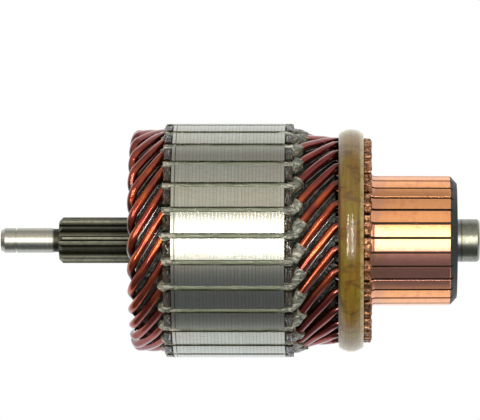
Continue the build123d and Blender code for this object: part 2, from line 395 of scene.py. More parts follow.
def core_steel():
    """Turned edges of the sheets, each a little different from the next, with dark seams."""
    material, tree, shader = start_material("core_steel", metallic=1.0)
    where = place(tree)
    x = split(tree, where)["X"]
    along = combined(tree, "DIVIDE", combined(tree, "SUBTRACT", x, CORE_START_X * MM), SHEET * MM)
    sheet = combined(tree, "FLOOR", along)
    shade = add_node(tree, "TexWhiteNoise", {"W": sheet}, noise_dimensions="1D").outputs["Value"]
    from_middle = combined(tree, "SUBTRACT", combined(tree, "FRACT", along), 0.5)
    seam = ranged(tree, combined(tree, "ABSOLUTE", from_middle), 0.36, 0.5, 0.0, 0.55)
    grain = noise(tree, stretched(tree, where, (500, 2500, 2500)), 1.0, 4.0)
    clouds = noise(tree, where, 90.0, 3.0)
    pale = mixed(tree, shade, colour(176, 177, 165), colour(183, 184, 172))
    warm = mixed(tree, ranged(tree, clouds, 0.45, 0.7), pale, colour(182, 177, 164))
    worn = mixed(tree, ranged(tree, grain, 0.5, 0.8), warm, colour(160, 161, 148))
    feed(tree, shader, base_color=mixed(tree, seam, worn, colour(120, 121, 106)))
    feed(tree, shader, roughness=ranged(tree, grain, 0.3, 0.8, 0.16, 0.26))
    bumped(tree, shader, grain, 0.00001, 0.3)
    return material


def fibre_board():
    """Dark brown fibre under lumpy varnish."""
    material, tree, shader = start_material(
        "fibre_board", coat_weight=0.6, coat_roughness=0.05, specular_ior_level=0.1)
    where = place(tree)
    flecks = noise(tree, stretched(tree, where, (2400, 700, 700)), 1.0, 5.0, 0.7)
    lumps = noise(tree, stretched(tree, where, (1900, 1300, 1300)), 1.0, 2.0, 0.5, 0.8)
    clouds = noise(tree, where, 420.0, 3.0)
    brown = mixed(tree, ranged(tree, clouds, 0.4, 0.66), colour(28, 20, 12), colour(64, 50, 36))
    board = mixed(tree, ranged(tree, flecks, 0.55, 0.63), brown, colour(138, 126, 98))
    feed(tree, shader, base_color=board, roughness=ranged(tree, clouds, 0.3, 0.7, 0.3, 0.55))
    height = combined(tree, "ADD", lumps, combined(tree, "MULTIPLY", flecks, 0.3))
    bumped(tree, shader, height, 0.0012, 1.0)
    return material


def slot_paper():
    """Grey-green paper stiffened with varnish: flat and dull in the slots, creased behind them."""
    material, tree, shader = start_material("slot_paper", coat_weight=0.8, coat_roughness=0.12)
    where = place(tree)
    x = split(tree, where)["X"]
    in_core = window(tree, x, CORE_START_X + 0.5, CORE_START_X + 3.0,
                     CORE_END_X - 2.5, CORE_END_X - 0.5)
    creases = noise(tree, stretched(tree, where, (420, 1000, 1000)), 1.0, 3.0, 0.6, 1.2)
    clouds = noise(tree, where, 300.0, 3.0)
    fibres = noise(tree, stretched(tree, where, (120, 2600, 2600)), 1.0, 3.0)
    green = mixed(tree, ranged(tree, clouds, 0.35, 0.65), colour(84, 94, 76), colour(136, 130, 116))
    # Paler on the crease ridges and darker in their hollows: the pale is partly whitened paper at
    # the folds and partly painted highlight, the dark is painted shade.
    creased = mixed(tree, ranged(tree, creases, 0.54, 0.62), green, colour(196, 196, 180))
    creased = mixed(tree, ranged(tree, creases, 0.47, 0.36), creased, colour(58, 60, 44))
    frayed = combined(tree, "MULTIPLY", ranged(tree, creases, 0.42, 0.52),
                      faded(tree, x, CORE_START_X, CORE_START_X + 2.5, 0.35, 0.0))
    creased = mixed(tree, frayed, creased, colour(206, 200, 182))
    dull = mixed(tree, ranged(tree, fibres, 0.35, 0.7), colour(134, 140, 116), colour(100, 107, 82))
    # Darker where the strip's edges sink into the slot mouth: painted shade.
    low = faded(tree, distance_from_axis(tree, where), CORE_R - 0.7, CORE_R - 0.42, 1.0, 0.0)
    dull = mixed(tree, low, dull, colour(56, 60, 44))
    feed(tree, shader, base_color=mixed(tree, in_core, creased, dull))
    feed(tree, shader, roughness=ranged(tree, clouds, 0.3, 0.7, 0.3, 0.5))
    bumped(tree, shader, creases, 0.0005, 0.9)
    return material


def enamelled_copper():
    """Copper under red-orange enamel. Painted shade makes it redder above and below and dark on the
    inner layer, and it is dark where the wires go under the band, partly from resin and partly
    painted shadow.
    """
    material, tree, shader = start_material(
        "enamelled_copper", metallic=0.96, coat_weight=1.0, coat_roughness=0.02, coat_ior=1.45)
    where = place(tree)
    x = split(tree, where)["X"]
    varnish = noise(tree, where, 140.0, 3.0)
    streaks = noise(tree, where, 900.0, 3.0)
    body = mixed(tree, ranged(tree, varnish, 0.32, 0.6), colour(192, 84, 20), colour(132, 40, 20))
    off_axis = distance_from_axis(tree, where)
    # Redder and darker towards the top and bottom of the winding, less so at the heads: painted
    # shade.
    painted_shade_tilt = combined(tree, "DIVIDE", combined(tree, "ABSOLUTE", split(tree, where)["Z"]), off_axis)
    painted_shade_tilt = combined(tree, "SUBTRACT", painted_shade_tilt, faded(tree, x, FRONT_FACE_X, REAR_FACE_X, 0.2, 0.0))
    body = mixed(tree, ranged(tree, painted_shade_tilt, 0.36, 0.7, 0.0, 0.7), body, colour(118, 32, 32))
    sink = faded(tree, x, REAR_FACE_X, LEAD_BEND_X, 0.0, (SLOT_OUTER_R - LEAD_OUTER_R) * MM)
    out = combined(tree, "ADD", off_axis, sink)
    # The inner layer lies in the outer layer's shade and is coloured dark: painted shade.
    inner = faded(tree, out, SLOT_OUTER_R - 1.5, SLOT_OUTER_R - 0.3, 0.85, 0.0)
    # Dark where the wires run under the band: partly resin, partly painted shadow.
    at_band = faded(tree, x, BAND_START_X - 1.6, BAND_START_X - 0.2, 0.0, 0.85)
    painted_shade_and_resin = combined(tree, "MAXIMUM", inner, at_band)
    feed(tree, shader, base_color=mixed(tree, painted_shade_and_resin, body, colour(64, 32, 20)))
    feed(tree, shader, roughness=ranged(tree, streaks, 0.3, 0.7, 0.15, 0.25))
    bumped(tree, shader, streaks, 0.00003, 0.3)
    return material


def varnish():
    """Dark varnish that has run beside the wires and set."""
    material, tree, shader = start_material(
        "varnish", coat_weight=1.0, coat_roughness=0.05, coat_ior=1.9, roughness=0.1, ior=2.2)
    clouds = noise(tree, place(tree), 600.0, 3.0)
    streaks = ranged(tree, clouds, 0.4, 0.65)
    feed(tree, shader, base_color=mixed(tree, streaks, colour(28, 26, 22), colour(88, 86, 78)))
    bumped(tree, shader, clouds, 0.0001, 0.5)
    return material


def layer_paper():
    """Near-black varnished paper behind the wires; its darkness is partly its own and partly
    painted shade for the gaps between the wires.
    """
    material, tree, shader = start_material(
        "layer_paper", coat_weight=0.8, coat_roughness=0.03, specular_ior_level=0.1)
    clouds = noise(tree, place(tree), 420.0, 4.0)
    feed(tree, shader, base_color=mixed(tree, clouds, colour(26, 27, 20), colour(48, 51, 42)))
    feed(tree, shader, roughness=ranged(tree, clouds, 0.3, 0.7, 0.4, 0.6))
    bumped(tree, shader, clouds, 0.0016, 1.0)
    return material


def banding_resin():
    """Olive-amber resin over turns of glass cord, with a painted shadow at the near rim where the
    wires go under it, and pale at the far one.
    """
    material, tree, shader = start_material(
        "banding_resin", coat_weight=1.0, coat_roughness=0.03, coat_ior=1.55,
        specular_ior_level=0.1, sheen_weight=0.5, sheen_roughness=0.4)
    shader.inputs["Sheen Tint"].default_value = (1.0, 0.82, 0.44, 1.0)
    where = place(tree)
    x = split(tree, where)["X"]
    turns = noise(tree, stretched(tree, where, (1900, 120, 120)), 1.0, 3.0)
    clouds = noise(tree, where, 130.0, 3.0)
    lumps = noise(tree, where, 800.0, 3.0)
    stains = noise(tree, stretched(tree, where, (200, 330, 330)), 1.0, 3.0, 0.6, 0.5)
    amber = mixed(tree, ranged(tree, clouds, 0.35, 0.68), colour(132, 90, 8), colour(132, 116, 20))
    amber = mixed(tree, ranged(tree, turns, 0.42, 0.7), amber, colour(112, 82, 10))
    amber = mixed(tree, ranged(tree, stains, 0.5, 0.66, 0.0, 0.9), amber, colour(94, 60, 8))
    rim = combined(tree, "MULTIPLY", faded(tree, x, BAND_END_X - 1.2, BAND_END_X - 0.7),
                   ranged(tree, lumps, 0.35, 0.6, 0.3, 0.9))
    amber = mixed(tree, rim, amber, colour(188, 164, 104))
    # Dark at the near rim, where the wires meet the band: painted shadow.
    shaded = faded(tree, x, BAND_START_X + 0.3, BAND_START_X + 0.9, 0.8, 0.0)
    feed(tree, shader, base_color=mixed(tree, shaded, amber, colour(58, 38, 10)))
    feed(tree, shader, roughness=ranged(tree, turns, 0.3, 0.7, 0.35, 0.5))
    height = combined(tree, "ADD", combined(tree, "MULTIPLY", turns, 0.5), lumps)
    bumped(tree, shader, height, 0.00013, 0.6)
    return material


def commutator_copper():
    """Turned copper on the track, pinker on the bars that face down and forward, with dark walls
    and mottled risers.
    """
    material, tree, shader = start_material("commutator_copper", metallic=1.0)
    where = place(tree)
    out = distance_from_axis(tree, where)
    riser = faded(tree, out, TRACK_R + 0.5, TRACK_R + 1.0)
    wall = faded(tree, out, TRACK_R - 0.3, TRACK_R - 0.1, 1.0, 0.0)
    turning = noise(tree, stretched(tree, where, (7000, 80, 80)), 1.0, 4.0)
    stains = noise(tree, where, 420.0, 4.0)
    burns = noise(tree, where, 1100.0, 4.0, 0.65)
    track = mixed(tree, ranged(tree, turning, 0.3, 0.75),
                  colour(252, 180, 124), colour(246, 168, 114))
    track = mixed(tree, ranged(tree, stains, 0.5, 0.8), track, colour(226, 150, 114))
    # Pinker on the bars that face down and forward.
    low_side = add_node(tree, "VectorMath", {0: where, 1: LOW_SIDE}, operation="DOT_PRODUCT")
    facing_down = combined(tree, "DIVIDE", low_side.outputs["Value"], out)
    low_side_pink = ranged(tree, facing_down, 0.9, 0.98, 0.0, 0.8)
    pink = mixed(tree, stains, colour(240, 164, 154), colour(212, 152, 142))
    track = mixed(tree, low_side_pink, track, pink)
    x = split(tree, where)["X"]
    near_riser = faded(tree, x, RISER_END_X + 2.0, RISER_END_X + 5.5, 0.9, 0.0)
    shoulder = combined(tree, "MULTIPLY", near_riser, ranged(tree, stains, 0.3, 0.55, 0.3, 1.0))
    track = mixed(tree, shoulder, track, colour(222, 160, 128))
    track = mixed(tree, wall, track, colour(92, 56, 40))
    fused = mixed(tree, ranged(tree, burns, 0.4, 0.6), colour(190, 142, 108), colour(112, 70, 42))
    fused = mixed(tree, ranged(tree, stains, 0.5, 0.75), fused, colour(72, 40, 24))
    roughness = mixed_number(tree, combined(tree, "MAXIMUM", riser, wall),
                             ranged(tree, turning, 0.3, 0.7, 0.16, 0.24),
                             ranged(tree, burns, 0.35, 0.65, 0.35, 0.6))
    feed(tree, shader, base_color=mixed(tree, riser, track, fused), roughness=roughness)
    height = combined(tree, "ADD", combined(tree, "MULTIPLY", turning, 0.05),
                      combined(tree, "MULTIPLY", burns, riser))
    bumped(tree, shader, height, 0.0004, 0.5)
    return material


def mica_strip():
    """Flaky brown mica."""
    material, tree, shader = start_material("mica_strip", roughness=0.7)
    flakes = noise(tree, place(tree), 1500.0, 4.0)
    feed(tree, shader, base_color=mixed(tree, flakes, colour(34, 22, 16), colour(88, 62, 48)))
    bumped(tree, shader, flakes, 0.0001, 0.5)
    return material


def phenolic():
    """Black moulding compound, with a little copper dust on it."""
    material, tree, shader = start_material("phenolic", specular_ior_level=0.3)
    where = place(tree)
    dust = noise(tree, where, 1600.0, 5.0, 0.7)
    clouds = noise(tree, where, 300.0, 3.0)
    black = mixed(tree, ranged(tree, clouds, 0.35, 0.65), colour(30, 26, 18), colour(30, 44, 42))
    dusty = mixed(tree, ranged(tree, dust, 0.62, 0.75), black, colour(110, 104, 92))
    feed(tree, shader, base_color=dusty, roughness=ranged(tree, clouds, 0.3, 0.7, 0.38, 0.55))
    bumped(tree, shader, dust, 0.00006, 0.4)
    return material


def bush_steel():
    """Machined steel of the bush."""
    material, tree, shader = start_material("bush_steel", metallic=1.0)
    turning = noise(tree, place(tree), 2200.0, 4.0)
    grey = mixed(tree, turning, colour(120, 116, 112), colour(176, 172, 166))
    feed(tree, shader, base_color=grey)
    feed(tree, shader, roughness=ranged(tree, turning, 0.3, 0.7, 0.28, 0.45))
    bumped(tree, shader, turning, 0.00002, 0.4)
    return material


# Core and insulators

def rim_arc(slot, radius, half):
    """Points on a rim between one slot and the next, both ends left out."""
    trim = math.degrees(math.asin(half / radius))
    start = SLOT_PHASE + slot * SLOT_PITCH + trim
    end = SLOT_PHASE + (slot + 1) * SLOT_PITCH - trim
    angles = np.radians(np.linspace(start, end, RIM_STEPS + 2)[1:-1])
    return [(radius * math.cos(a), radius * math.sin(a)) for a in angles]


def slot_points(slot, corners):
    """Both sides of a slot, from (radius, half width) corners that run inwards."""
    away = direction(slot)[1:]
    side = across(slot)[1:]
    points = [r * away - half * side for r, half in corners]
    points += [r * away + half * side for r, half in reversed(corners)]
    return [tuple(p) for p in points]


def slotted_ring(x, radius, corners):
    """Outline of a slotted disc. The radius replaces that of the first corner."""
    mouth = corners[0][1]
    flat = []
    for slot in range(SLOT_COUNT):
        flat += slot_points(slot, [(math.sqrt(radius ** 2 - mouth ** 2), mouth)] + corners[1:])
        flat += rim_arc(slot, radius, mouth)
    return np.array([(x, y, z) for y, z in flat])


def slotted_pack(rings, corners):
    """Closed slotted disc with a bore, from its outlines along the shaft."""
    points, faces = skin(rings, capped=False)
    count = len(rings[0])
    per_slot = count // SLOT_COUNT
    slot_floor = len(corners) - 1
    bores = []
    for x, edge in ((rings[0][0][0], 0), (rings[-1][0][0], len(points) - count)):
        bore_start = len(points)
        bore = []
        for slot in range(SLOT_COUNT):
            for corner in (slot_floor, slot_floor + 1):
                flat = points[edge + slot * per_slot + corner][1:]
                bore.append((x, *(flat / np.linalg.norm(flat) * BORE_R)))
        for slot in range(SLOT_COUNT):
            first = slot * per_slot + slot_floor
            after = ((slot + 1) % SLOT_COUNT) * per_slot + slot_floor
            tooth = [edge + (first + 1 + i) % count for i in range(per_slot)]
            b = bore_start + 2 * slot
            b_next = bore_start + (2 * slot + 2) % (2 * SLOT_COUNT)
            under_slot = (edge + first, edge + first + 1, b + 1, b)
            under_tooth = (edge + first + 1, edge + after, b_next, b + 1)
            found = [tuple(tooth), under_slot, under_tooth]
            faces += found if edge else [tuple(reversed(face)) for face in found]
        points = np.concatenate([points, np.array(bore)])
        bores.append(bore_start)
    total = 2 * SLOT_COUNT
    for i in range(total):
        j = (i + 1) % total
        faces.append((bores[0] + i, bores[1] + i, bores[1] + j, bores[0] + j))
    return points, faces


def build_core(material):
    """Pack of sheets, no two quite alike, with a groove of (half width, depth) between each two."""
    rng = random.Random(CORE_SEED)
    seam = (0.07, 0.012)
    end_seam = (0.12, 0.25)
    gap = 0.01
    rings = []
    for sheet in range(SHEET_COUNT):
        start = CORE_START_X + sheet * SHEET
        radius = CORE_R - rng.uniform(0.0, 0.03)
        mouth = MOUTH_HALF + rng.uniform(-0.03, 0.03)
        corners = [(0.0, mouth), (LIP_R, mouth),
                   (SLOT_TOP_R, SLOT_HALF), (SLOT_BOTTOM_R, SLOT_HALF)]
        first = end_seam if sheet == 1 else seam
        last = end_seam if sheet == 0 else seam
        profile = [(gap, first[1]), (first[0], 0.0), (SHEET - last[0], 0.0), (SHEET - gap, last[1])]
        for x, inset in profile:
            rings.append(slotted_ring(start + x, radius - inset, corners))
    rings[0][:, 0] = CORE_START_X
    rings[-1][:, 0] = CORE_END_X
    surface = slotted_pack(rings, corners)
    add_piece("core_laminations", surface, material, ["core_stack"], 25)


def build_insulator(name, node, face_x, inner_x, material, rng):
    """Fibre disc with a rounded, uneven rim, well rounded on the outer side."""
    way = 1 if inner_x > face_x else -1
    thickness = abs(inner_x - face_x)
    corners = [(0.0, SLOT_HALF), (SLOT_BOTTOM_R, SLOT_HALF)]
    profile = [(0.0, 0.6), (0.12, 0.33), (0.4, 0.12), (0.8, 0.04), (1.3, 0.02),
               (thickness - 0.45, 0.05), (thickness - 0.25, 0.25), (thickness, 0.6)]
    rings = []
    for depth, inset in profile:
        inset += rng.uniform(0.0, 0.06)
        rings.append(slotted_ring(face_x + way * depth, CORE_R - 0.02 - inset, corners))
    if way < 0:
        rings.reverse()
    add_piece(name, slotted_pack(rings, corners), material, [node], 35)


# Coils

def rounded_route(stations):
    """Points along a route of (x, radius, slots, cut) stations, with each corner rounded off.

    A corner loses its cut, in millimetres, on both sides."""
    pitch = math.radians(SLOT_PITCH)
    flat = [np.array([x, r, slots * pitch * SLOT_OUTER_R]) for x, r, slots, _ in stations]
    cuts = [station[3] for station in stations]
    route = [flat[0]]

    def go_straight(goal):
        last = route[-1]
        run = goal - last
        pieces = max(1, int(np.linalg.norm(run) / STRAIGHT_STEP))
        route.extend([last + run * (k + 1) / pieces for k in range(pieces)])

    for i in range(1, len(flat) - 1):
        before = flat[i - 1] - flat[i]
        after = flat[i + 1] - flat[i]
        start = flat[i] + before / np.linalg.norm(before) * cuts[i]
        end = flat[i] + after / np.linalg.norm(after) * cuts[i]
        go_straight(start)
        for k in range(1, CORNER_STEPS + 1):
            t = k / CORNER_STEPS
            route.append((1 - t) ** 2 * start + 2 * t * (1 - t) * flat[i] + t ** 2 * end)
    go_straight(flat[-1])
    return [(p[0], p[1], p[2] / pitch / SLOT_OUTER_R) for p in route]


def leg(slot_r, end_r, lead_r, riser_r, rear_turn, way):
    """Stations of one leg of a coil, from its riser to its head."""
    middle_r = slot_r + LEAD_DROP_SHARE * (lead_r - slot_r)
    return [
        (RISER_START_X + 0.9, riser_r, rear_turn, 0),
        (LEAD_BEND_X, lead_r, rear_turn, 1.7),
        (REAR_MIDDLE_X, middle_r, rear_turn * LEAD_TURN_SHARE, 2.6),
        (REAR_BEND_X, slot_r, 0, 1.7),
        (FRONT_BEND_X, slot_r, 0, 1.5),
        (HEAD_X + 0.6, end_r, way * (COIL_SPAN / 2 - HEAD_HALF_TURN), 1.6),
    ]


def outer_leg():
    return leg(SLOT_OUTER_R, FRONT_OUTER_R, LEAD_OUTER_R, RISER_OUTER_R, -OUTER_REAR_TURN, 1)


def inner_leg():
    return leg(SLOT_INNER_R, FRONT_INNER_R, LEAD_INNER_R, LEAD_INNER_R, INNER_REAR_TURN, -1)


def coil_stations():
    """Stations of a whole coil, out along one leg, round the head and back along the other."""
    head = (HEAD_X - 0.15, (FRONT_OUTER_R + FRONT_INNER_R) / 2, COIL_SPAN / 2, 1.5)
    back = [(x, r, COIL_SPAN + slots, cut) for x, r, slots, cut in reversed(inner_leg())]
    return outer_leg() + [head] + back


def wire_section(radius, sides):
    """Circle as (outward, sideways) offsets."""
    angles = FULL_TURN * np.arange(sides) / sides
    return radius * np.stack([np.cos(angles), np.sin(angles)], axis=1)


def tube(points, section, scales=None):
    """Tube along points, whose section keeps its turn and is scaled at each point."""
    rings = []
    normal = None
    for i, point in enumerate(points):
        ahead = heading(points, i)
        if normal is None:
            normal = np.array([0.0, point[1], point[2]])
        normal = normal - (normal @ ahead) * ahead
        normal = normal / np.linalg.norm(normal)
        side = np.cross(ahead, normal)
        size = 1.0 if scales is None else scales[i]
        rings.append(point + size * (section[:, :1] * normal + section[:, 1:] * side))
    return skin(rings)


def build_coils(material):
    """Hairpins of round wire, each a little out of line with the next."""
    route = rounded_route(coil_stations())
    section = wire_section(WIRE_R, WIRE_SIDES)
    for number in range(SLOT_COUNT):
        rng = random.Random(COIL_SEED + number)
        sway = wavering(route, rng, 0.035, 7)
        lift = wavering(route, rng, 0.14, 7)
        points = []
        for (x, r, slots), side, up in zip(route, sway, lift):
            free = 1.0 if x < FRONT_BEND_X - 2 or REAR_BEND_X + 2 < x < BAND_START_X - 1 else 0.0
            points.append(point_at(x, r + free * up, number + slots + free * side))
        wire = tube(points, section)
        label = f"{number + 1:02d}"
        add_piece(f"wire_{label}", wire, material, [f"coil_{label}"])


def build_sleeve(name, node, start_x, end_x, material, rng):
    """Varnished paper between the two layers of wire, with lumps where varnish has pooled.

    The lumps run out at the last angles, where the ring closes."""
    outer = np.array([p[:2] for p in reversed(rounded_route(outer_leg()))])
    inner = np.array([p[:2] for p in reversed(rounded_route(inner_leg()))])
    xs = np.linspace(start_x, end_x, 20)
    middle = (np.interp(xs, outer[:, 0], outer[:, 1]) + np.interp(xs, inner[:, 0], inner[:, 1])) / 2
    angles = FULL_TURN * np.arange(SLEEVE_SIDES) / SLEEVE_SIDES
    lump_height = 0.3
    lumps = wavering(angles, rng, lump_height, 3)
    closing = angles > FULL_TURN - 0.2
    rings = []
    for x, radius in zip(xs, middle):
        lumps = 0.5 * lumps + 0.5 * wavering(angles, rng, lump_height, 3)
        rings.append(circle_at(x, radius + 0.2 + lumps - lumps * closing, angles))
    for x, radius in zip(xs[::-1], middle[::-1]):
        rings.append(circle_at(x, radius - 0.25, angles))
    add_piece(name, skin(rings, False, True), material, [node], 70)


def build_varnish(material):
    """Films of set varnish in the angle between each outer wire and what lies under it."""
    route = rounded_route(outer_leg())
    section = wire_section(1.0, 10) * np.array([0.5, 1.0])
    under = 0.45
    thickness = 0.24
    parts = []
    for number in range(SLOT_COUNT):
        rng = random.Random(VARNISH_SEED + number)
        for low_x, high_x in ((HEAD_X + 1.2, FRONT_FACE_X - 0.6),
                              (REAR_FACE_X + 3.4, LEAD_BEND_X - 0.4)):
            chosen = [p for p in route if low_x <= p[0] <= high_x]
            sway = wavering(chosen, rng, 0.02, 3)
            lift = wavering(chosen, rng, 0.12, 3)
            points = [point_at(x, r - under + up, number + slots + VARNISH_TURN + side)
                      for (x, r, slots), side, up in zip(chosen, sway, lift)]
            swell = thickness + wavering(chosen, rng, thickness / 2, 2)
            taper = np.sin(np.linspace(0.12, np.pi - 0.12, len(points))) ** 0.4
            parts.append(tube(points, section, swell * taper))
    add_piece("varnish_runs", joined(parts), material, (), 80)


def build_drips(material):
    """Strings of set varnish round the rims of both end insulators, between the slots."""
    section = wire_section(1.0, 8)
    radius = CORE_R - 0.2
    steps = 12
    taper = np.sin(np.linspace(0.15, np.pi - 0.15, steps)) ** 0.5
    parts = []
    for slot in range(SLOT_COUNT):
        rng = random.Random(DRIP_SEED + slot)
        for low_x, high_x, count in ((FRONT_FACE_X + 0.5, CORE_START_X - 0.6, 2),
                                     (CORE_END_X + 0.4, REAR_FACE_X - 0.4, 4)):
            for _ in range(count):
                first, last = rng.uniform(0.16, 0.4), rng.uniform(0.5, 0.84)
                turns = np.linspace(slot + first, slot + last, steps)
                x = rng.uniform(low_x, high_x)
                drift = wavering(turns, rng, 0.3, 3)
                size = rng.uniform(0.1, 0.2)
                points = [point_at(x + side, radius, turn) for turn, side in zip(turns, drift)]
                swell = size * taper + wavering(turns, rng, 0.04, 1)
                parts.append(tube(points, section, swell))
    add_piece("varnish_strings", joined(parts), material, (), 80)


# Slot liners

def paper_section():
    """Rounded square of paper as (outward, sideways) offsets."""
    circle = wire_section(1.0, 20)
    return np.sign(circle) * np.abs(circle) ** 0.6


def crumpled(section, path, rng, reach):
    """Outlines along a path, whose points wander in and out as creased paper does."""
    folds = [wavering(path, rng, reach, 3) for _ in section]
    outlines = []
    for i in range(len(path)):
        outlines.append(np.array([point * (1 + (folds[k - 1][i] + folds[k][i]) / 2)
                                  for k, point in enumerate(section)]))
    return outlines


def build_liners(material):
    """Paper sleeves round the outer wires, and the paper that closes each slot mouth."""
    route = rounded_route(outer_leg())
    section = paper_section()
    parts = []
    for slot in range(SLOT_COUNT):
        rng = random.Random(PAPER_SEED + slot)
        tip = FRONT_FACE_X - rng.uniform(0.1, 0.6)
        end = REAR_FACE_X + rng.uniform(2.2, 3.0)
        chosen = [p for p in route if tip <= p[0] <= end]
        chosen.reverse()
        dense = []
        for here, there in zip(np.array(chosen), np.array(chosen[1:])):
            dense += [tuple(here + (there - here) * k / 3) for k in range(3)]
        dense.append(chosen[-1])
        path = [point_at(x, r, slot + slots) for x, r, slots in dense]
        outlines = []
        for (x, _, _), outline in zip(dense, crumpled(section, path, rng, 0.2)):
            behind = max(0.0, min(1.0, (x - CORE_END_X) / 3.0))
            size = np.array([1.5 + 0.15 * behind, 1.45 + 0.3 * behind])
            outlines.append(outline * size if x > CORE_END_X else section * size)
        parts.append(swept(path, outlines))
        parts.append(mouth_strip(slot, rng))
    add_piece("slot_papers", joined(parts), material, ["slot_liners"], 60)


def mouth_strip(slot, rng):
    """Paper that shows between two teeth, low at its edges and crumpled at both its ends."""
    xs = np.linspace(FRONT_FACE_X - 0.2, REAR_FACE_X + 0.1, 90)
    lift = wavering(xs, rng, 0.05, 6)
    tangle = wavering(xs, rng, 0.22, 2)
    lean = wavering(xs, rng, 0.12, 7)
    front_end = CORE_START_X + rng.uniform(0.5, 3.5)
    rear_end = CORE_END_X - rng.uniform(0.0, 2.0)
    half = MOUTH_HALF - 0.03
    rings = []
    for x, up, knot, side in zip(xs, lift, tangle, lean):
        loose = 1.0 if x < front_end or x > rear_end else 0.0
        top = CORE_R - 0.3 + up + loose * (0.12 + knot)
        corners = [(LIP_R - 0.3, -half), (top - 0.42, -half), (top - 0.3, -half + 0.1),
                   (top, -half * 0.4 + side), (top + 0.02, side), (top, half * 0.4 + side),
                   (top - 0.3, half - 0.1), (top - 0.42, half), (LIP_R - 0.3, half)]
        rings.append(section_at(x, slot, corners))
    return skin(rings)


# Banding ring

def build_band(material):
    """Crowned ring of wound cord, a little uneven where the resin has run."""
    rng = random.Random(BAND_SEED)
    width = BAND_END_X - BAND_START_X
    middle_x = (BAND_START_X + BAND_END_X) / 2
    bore_r = LEAD_OUTER_R + WIRE_R + 0.05
    shoulder_r = bore_r + 0.95
    rise = BAND_R - shoulder_r
    bend_r = ((width / 2) ** 2 + rise ** 2) / (2 * rise)
    centre_r = BAND_R - bend_r
    waves = [(rng.uniform(0.02, 0.05), k, rng.uniform(0, 6.28)) for k in (3, 5, 9, 14)]
    rings = []
    for step in range(BAND_SIDES):
        angle = FULL_TURN * step / BAND_SIDES
        swell = sum(size * math.sin(k * angle + phase) for size, k, phase in waves)
        outline = [(BAND_END_X, bore_r - 0.3), (BAND_START_X, bore_r)]
        for share in np.linspace(0, 1, 19):
            x = BAND_START_X + share * width
            offset = x - middle_x
            r = centre_r + math.sqrt(bend_r ** 2 - offset ** 2)
            ripple = 0.02 * math.sin(share * 19 + 2 * math.sin(angle * 2))
            outline.append((x, r - 0.06 + 0.5 * swell + ripple))
        rings.append(np.array([(x, r * math.cos(angle), r * math.sin(angle)) for x, r in outline]))
    add_piece("band", skin(rings, False, True), material, ["banding_ring"], 50)


# Commutator

def bar_half(radius):
    """Half the width of a bar at a radius, between its two mica strips."""
    return radius * math.sin(math.pi / SLOT_COUNT) - MICA_HALF


def bar_outline(x, top_r, bottom_r, slot, bevel):
    """Section of a bar square to the shaft, with a curved top and bevelled edges."""
    half = bar_half(top_r)
    side_r = math.sqrt(top_r ** 2 - half ** 2) - bevel
    corners = [(bottom_r, -bar_half(bottom_r)), (side_r, -half)]
    for w in np.linspace(-half + bevel, half - bevel, 5):
        corners.append((math.sqrt(top_r ** 2 - w ** 2), w))
    corners += [(side_r, half), (bottom_r, bar_half(bottom_r))]
    return section_at(x, slot, corners)


def riser_outline(x, slot, inset, rng):
    """Section of a riser, whose slot is filled by the fused ends of its conductors."""
    top = RISER_R - inset
    half = bar_half(top) - inset
    low = TRACK_R - 0.5
    fill = WIRE_R * 0.8
    corners = [(low, -bar_half(low)), (top - 0.35, -half), (top, -half + 0.3),
               (top + 0.05, -fill - 0.35), (top - 0.35, -fill), (top - 0.12, -fill * 0.5),
               (top - 0.05, 0.0), (top - 0.12, fill * 0.5), (top - 0.35, fill),
               (top + 0.05, fill + 0.35), (top, half - 0.3), (top - 0.35, half),
               (low, bar_half(low))]
    jagged = [(r + rng.uniform(-0.16, 0.0) if r > RISER_R - 1 else r, w) for r, w in corners]
    return section_at(x, slot, jagged)


def weld_bead(slot, radius, rng):
    """Fused end of a conductor on the outer face of its riser."""
    centre = point_at(RISER_END_X - 0.1, radius, slot)
    size = WIRE_R * rng.uniform(0.85, 1.02)
    height = 0.42
    rings = []
    for turn in np.linspace(0, 0.48 * math.pi, 5):
        middle = centre + np.array([height * math.sin(turn), 0, 0])
        section = wire_section(size * math.cos(turn), 12)
        ring = [middle + r * direction(slot) + w * across(slot) for r, w in section]
        rings.append(np.array(ring))
    return skin(rings)


def build_commutator(material):
    """Turned bars with sawn edges, and risers fused to the conductors."""
    parts = []
    for number in range(SLOT_COUNT):
        slot = number + 0.5
        rng = random.Random(BAR_SEED + number)
        bottom = TRACK_R - BAR_DEPTH
        stations = [
            (RISER_END_X - 0.4, ROOT_R, 0.1),
            (RISER_END_X + 0.1, ROOT_R, 0.1),
            (RISER_END_X + 0.9, TRACK_R + 0.08, 0.04),
            (RISER_END_X + 1.2, TRACK_R + 0.01, 0.04),
            (RISER_END_X + 1.5, TRACK_R, 0.04),
            (TRACK_END_X - 0.25, TRACK_R - 0.05, 0.04),
            (TRACK_END_X, TRACK_R - 0.25, 0.04),
        ]
        parts.append(skin([bar_outline(x, r, bottom, slot, bevel) for x, r, bevel in stations]))
        profile = [(RISER_START_X, 0.15), (RISER_START_X + 0.2, 0.0),
                   (RISER_START_X + 0.7, 0.02), (RISER_START_X + 1.1, 0.1),
                   (RISER_START_X + 1.5, 0.0), (RISER_END_X - 0.25, 0.0), (RISER_END_X, 0.2)]
        parts.append(skin([riser_outline(x, slot, inset, rng) for x, inset in profile]))
        for radius in (RISER_OUTER_R, LEAD_INNER_R):
            parts.append(weld_bead(slot, radius, rng))
    add_piece("bars", joined(parts), material, ["commutator_bars"], 28)


# Camera, light and floor

def aim(thing, start, target):
    """Puts a camera or a lamp at a point, turned to another."""
    thing.location = start
    thing.rotation_euler = (Vector(target) - Vector(start)).to_track_quat("-Z", "Y").to_euler()


